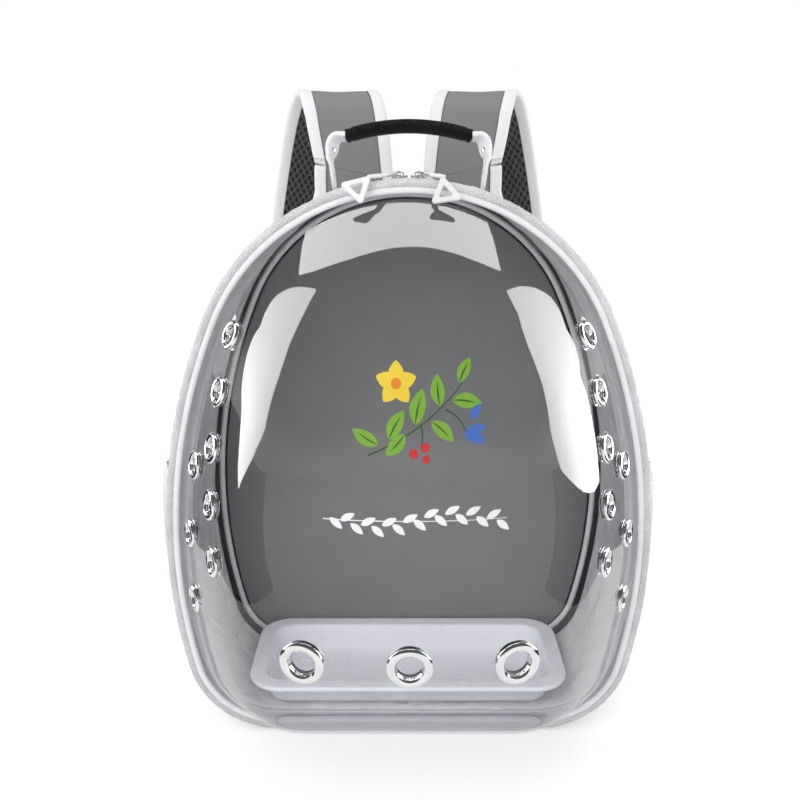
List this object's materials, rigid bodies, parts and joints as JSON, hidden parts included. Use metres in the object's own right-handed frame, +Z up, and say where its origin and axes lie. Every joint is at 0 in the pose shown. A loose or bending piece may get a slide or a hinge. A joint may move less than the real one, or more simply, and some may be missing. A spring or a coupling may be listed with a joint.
{
  "type": "bird travel carrier",
  "caption": "Backpack travel carrier for a small bird: a clear vented dome, zipped to a white soft shell with padded shoulder straps, a top handle and a lift-out tray.",
  "frame": {"origin": "centre of the flat base board, on the ground", "axes": "+Z up, +X to the right seen from the front, the dome faces -Y and the wearer's back is at +Y"},
  "size_m": [0.3808, 0.3559, 0.4763],
  "materials": {
    "white_leather": "grained white coated leather, satin",
    "white_cloth": "white woven polyester",
    "silver_lining": "silver-grey coated lining cloth",
    "base_board": "white plastic board",
    "grey_quilt": "grey coated quilt, soft sheen",
    "white_piping": "white piping cord",
    "black_mesh": "black air mesh with diamond holes",
    "zip_tape": "white woven zip tape with nylon coil",
    "elastic": "white ribbed elastic",
    "clear_sheet": "clear moulded sheet, very glossy",
    "chrome": "polished chrome plating",
    "white_rubber": "white moulded rubber",
    "black_grip": "black textured rubber",
    "white_webbing": "white woven webbing",
    "tray_plastic": "white moulded plastic, satin gloss",
    "grey_cloth": "grey coated cloth",
    "buckle_plastic": "black moulded plastic"
  },
  "bodies": {
    "shell": {"base_panel": "base_board", "side_gusset": "white_leather", "gusset_lining": "silver_lining", "back_board": "white_cloth", "back_lining": "grey_quilt", "back_piping": "white_piping", "seam_binding": "white_leather", "back_pad": "black_mesh", "strap_yoke": "white_leather", "zip_tape_rear": "zip_tape", "hinge_strip_rear": "white_cloth", "side_pocket_left": "white_cloth", "side_pocket_right": "white_cloth", "pocket_band_left": "elastic", "pocket_band_right": "elastic", "handle_anchors": "white_leather", "strap_anchors": "white_leather"},
    "dome_door": {"dome_shell": "clear_sheet", "dome_welt": "white_leather", "zip_tape_front": "zip_tape", "hinge_strip_front": "white_cloth", "front_eyelets": "chrome", "front_washers": "chrome", "side_eyelets_left": "chrome", "side_eyelets_right": "chrome", "side_washers_left": "chrome", "side_washers_right": "chrome"},
    "slider_left": {"slider_left": "chrome"},
    "slider_right": {"slider_right": "chrome"},
    "pull_left": {"pull_ring_left": "chrome", "pull_tab_left": "white_rubber"},
    "pull_right": {"pull_ring_right": "chrome", "pull_tab_right": "white_rubber"},
    "handle": {"handle_grip": "black_grip", "handle_webbing": "white_webbing"},
    "tray": {"tray": "tray_plastic"},
    "strap_left": {"strap_pad_left": "grey_cloth", "strap_mesh_left": "black_mesh", "strap_binding_left": "white_webbing", "strap_web_left": "white_webbing", "ladder_lock_left": "buckle_plastic"},
    "strap_right": {"strap_pad_right": "grey_cloth", "strap_mesh_right": "black_mesh", "strap_binding_right": "white_webbing", "strap_web_right": "white_webbing", "ladder_lock_right": "buckle_plastic"}
  },
  "joints": [
    {"name": "dome_opening", "type": "hinge", "parent": "shell", "child": "dome_door", "pos_m": [0, -0.059, 0.0025], "axis": [1, 0, 0], "range_deg": [0, 90]},
    {"name": "slider_left_run", "type": "hinge", "parent": "shell", "child": "slider_left", "pos_m": [0, -0.059, 0.2595], "axis": [0, -1, 0], "range_deg": [0, 56]},
    {"name": "slider_right_run", "type": "hinge", "parent": "shell", "child": "slider_right", "pos_m": [0, -0.059, 0.2595], "axis": [0, 1, 0], "range_deg": [0, 56]},
    {"name": "pull_left_lift", "type": "hinge", "parent": "slider_left", "child": "pull_left", "pos_m": [-0.00664, -0.059, 0.41276], "axis": [-0.5294, 0.848, -0.023], "range_deg": [0, 80]},
    {"name": "pull_right_lift", "type": "hinge", "parent": "slider_right", "child": "pull_right", "pos_m": [0.00664, -0.059, 0.41276], "axis": [-0.5294, -0.848, 0.023], "range_deg": [0, 80]},
    {"name": "handle_tilt", "type": "hinge", "parent": "shell", "child": "handle", "pos_m": [0, -0.019, 0.40953], "axis": [1, 0, 0], "range_deg": [-35, 30]},
    {"name": "tray_lift", "type": "slide", "parent": "shell", "child": "tray", "axis": [0, 0, 1], "range_m": [0, 0.05]},
    {"name": "strap_left_swing", "type": "hinge", "parent": "shell", "child": "strap_left", "pos_m": [-0.042, 0.0655, 0.4085], "axis": [0.2122, 0, 0.9772], "range_deg": [-20, 25]},
    {"name": "strap_right_swing", "type": "hinge", "parent": "shell", "child": "strap_right", "pos_m": [0.042, 0.0655, 0.4085], "axis": [0.2122, 0, -0.9772], "range_deg": [-20, 25]}
  ]
}
